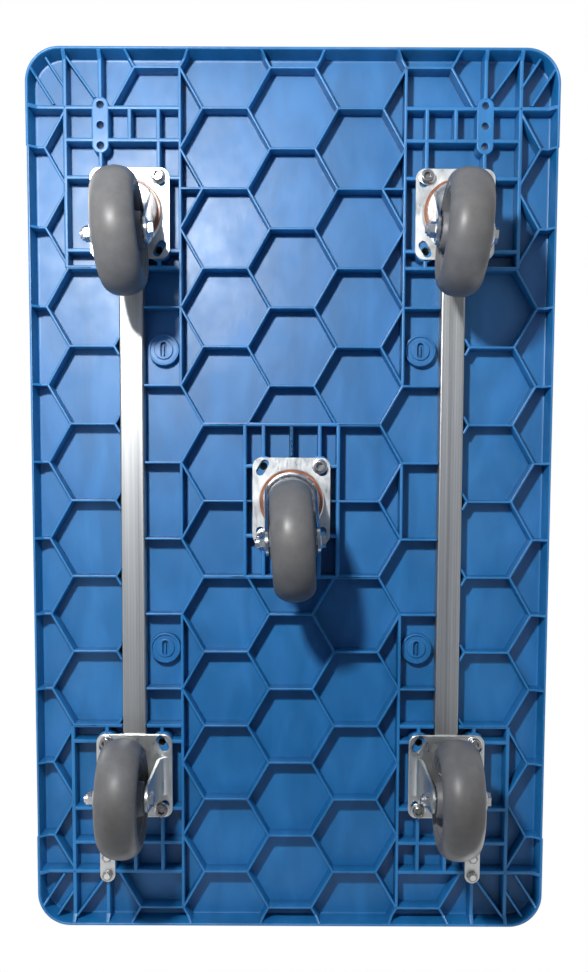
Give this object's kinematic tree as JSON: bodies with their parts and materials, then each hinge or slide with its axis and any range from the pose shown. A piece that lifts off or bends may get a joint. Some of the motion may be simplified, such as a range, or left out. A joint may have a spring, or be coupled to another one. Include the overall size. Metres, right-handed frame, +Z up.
{
  "type": "flatbed platform truck",
  "caption": "Flatbed platform truck: ribbed plastic deck with metal rails, swivel and rigid casters on bolted plates, and a fold-flat push handle.",
  "frame": {"origin": "on the floor under the middle of the deck", "axes": "+Z up; +X along the deck towards the two swivel casters; -X towards the rigid casters and the handle's hinge; +Y across the deck"},
  "size_m": [1.15, 0.682, 0.292],
  "materials": {
    "deck_plastic": "moulded, semi-gloss",
    "rail_metal": "mill finish",
    "zinc_plate": "bright zinc plated",
    "fork_chrome": "bright zinc plated, polished",
    "tyre_grey": "satin grey rubber",
    "hub_grey": "moulded",
    "bearing_steel": "ground",
    "seal_orange": "moulded",
    "bolt_dark": "zinc plated",
    "bolt_zinc": "zinc plated",
    "brass_insert": "turned",
    "handle_steel": "powder coated black",
    "rubber_black": "matt"
  },
  "bodies": {
    "root": {"deck": "deck_plastic", "rail_left": "rail_metal", "strap_left": "zinc_plate", "handle_bracket_left": "handle_steel", "rail_right": "rail_metal", "strap_right": "zinc_plate", "handle_bracket_right": "handle_steel", "threaded_inserts": "brass_insert", "caster_bolts": "bolt_dark", "caster_washers": "bolt_zinc", "bracket_bolts": "bolt_zinc", "bracket_nuts": "bolt_zinc", "hinge_bolts": "bolt_zinc", "swivel_balls": "bearing_steel", "swivel_left_plate": "zinc_plate", "swivel_left_kingpin": "bolt_zinc", "swivel_left_seal": "seal_orange", "swivel_right_plate": "zinc_plate", "swivel_right_kingpin": "bolt_zinc", "swivel_right_seal": "seal_orange", "swivel_centre_plate": "zinc_plate", "swivel_centre_kingpin": "bolt_zinc", "swivel_centre_seal": "seal_orange", "rigid_left_bracket": "zinc_plate", "rigid_left_axle": "bolt_zinc", "rigid_left_sleeve": "bearing_steel", "rigid_right_bracket": "zinc_plate", "rigid_right_axle": "bolt_zinc", "rigid_right_sleeve": "bearing_steel"},
    "lock_pin_left": {"lock_pin_left": "bolt_zinc"},
    "lock_pin_right": {"lock_pin_right": "bolt_zinc"},
    "handle": {"handle_tube": "handle_steel", "handle_grip": "rubber_black", "handle_bumpers": "rubber_black"},
    "swivel_left": {"swivel_left_fork": "fork_chrome", "swivel_left_axle": "bolt_zinc", "swivel_left_sleeve": "bearing_steel"},
    "swivel_wheel_left": {"swivel_left_tyre": "tyre_grey", "swivel_left_hub": "hub_grey", "swivel_left_bearings": "bearing_steel"},
    "swivel_right": {"swivel_right_fork": "fork_chrome", "swivel_right_axle": "bolt_zinc", "swivel_right_sleeve": "bearing_steel"},
    "swivel_wheel_right": {"swivel_right_tyre": "tyre_grey", "swivel_right_hub": "hub_grey", "swivel_right_bearings": "bearing_steel"},
    "swivel_centre": {"swivel_centre_fork": "fork_chrome", "swivel_centre_axle": "bolt_zinc", "swivel_centre_sleeve": "bearing_steel"},
    "swivel_wheel_centre": {"swivel_centre_tyre": "tyre_grey", "swivel_centre_hub": "hub_grey", "swivel_centre_bearings": "bearing_steel"},
    "rigid_wheel_left": {"rigid_left_tyre": "tyre_grey", "rigid_left_hub": "hub_grey", "rigid_left_bearings": "bearing_steel"},
    "rigid_wheel_right": {"rigid_right_tyre": "tyre_grey", "rigid_right_hub": "hub_grey", "rigid_right_bearings": "bearing_steel"}
  },
  "joints": [
    {"name": "swivel_left_turn", "type": "hinge", "parent": "root", "child": "swivel_left", "pos_m": [0.369, -0.2095, 0.18], "axis": [0, 0, 1], "continuous": true},
    {"name": "swivel_left_roll", "type": "hinge", "parent": "swivel_left", "child": "swivel_wheel_left", "pos_m": [0.32214, -0.20581, 0.075], "axis": [0.0785, 0.9969, 0], "continuous": true},
    {"name": "swivel_right_turn", "type": "hinge", "parent": "root", "child": "swivel_right", "pos_m": [0.369, 0.2095, 0.18], "axis": [0, 0, 1], "continuous": true},
    {"name": "swivel_right_roll", "type": "hinge", "parent": "swivel_right", "child": "swivel_wheel_right", "pos_m": [0.32218, 0.2054, 0.075], "axis": [-0.0872, 0.9962, 0], "continuous": true},
    {"name": "swivel_centre_turn", "type": "hinge", "parent": "root", "child": "swivel_centre", "pos_m": [0, 0, 0.18], "axis": [0, 0, 1], "continuous": true},
    {"name": "swivel_centre_roll", "type": "hinge", "parent": "swivel_centre", "child": "swivel_wheel_centre", "pos_m": [-0.04694, 0.00246, 0.075], "axis": [0.0523, 0.9986, 0], "continuous": true},
    {"name": "rigid_left_roll", "type": "hinge", "parent": "root", "child": "rigid_wheel_left", "pos_m": [-0.369, -0.2095, 0.075], "axis": [0, 1, 0], "continuous": true},
    {"name": "rigid_right_roll", "type": "hinge", "parent": "root", "child": "rigid_wheel_right", "pos_m": [-0.369, 0.2095, 0.075], "axis": [0, 1, 0], "continuous": true},
    {"name": "handle_fold", "type": "hinge", "parent": "root", "child": "handle", "pos_m": [-0.5, 0, 0.25], "axis": [0, -1, 0], "range_deg": [0, 90]},
    {"name": "lock_pin_left_slide", "type": "slide", "parent": "root", "child": "lock_pin_left", "axis": [0, 1, 0], "range_m": [0, 0.008]},
    {"name": "lock_pin_right_slide", "type": "slide", "parent": "root", "child": "lock_pin_right", "axis": [0, -1, 0], "range_m": [0, 0.008]}
  ]
}
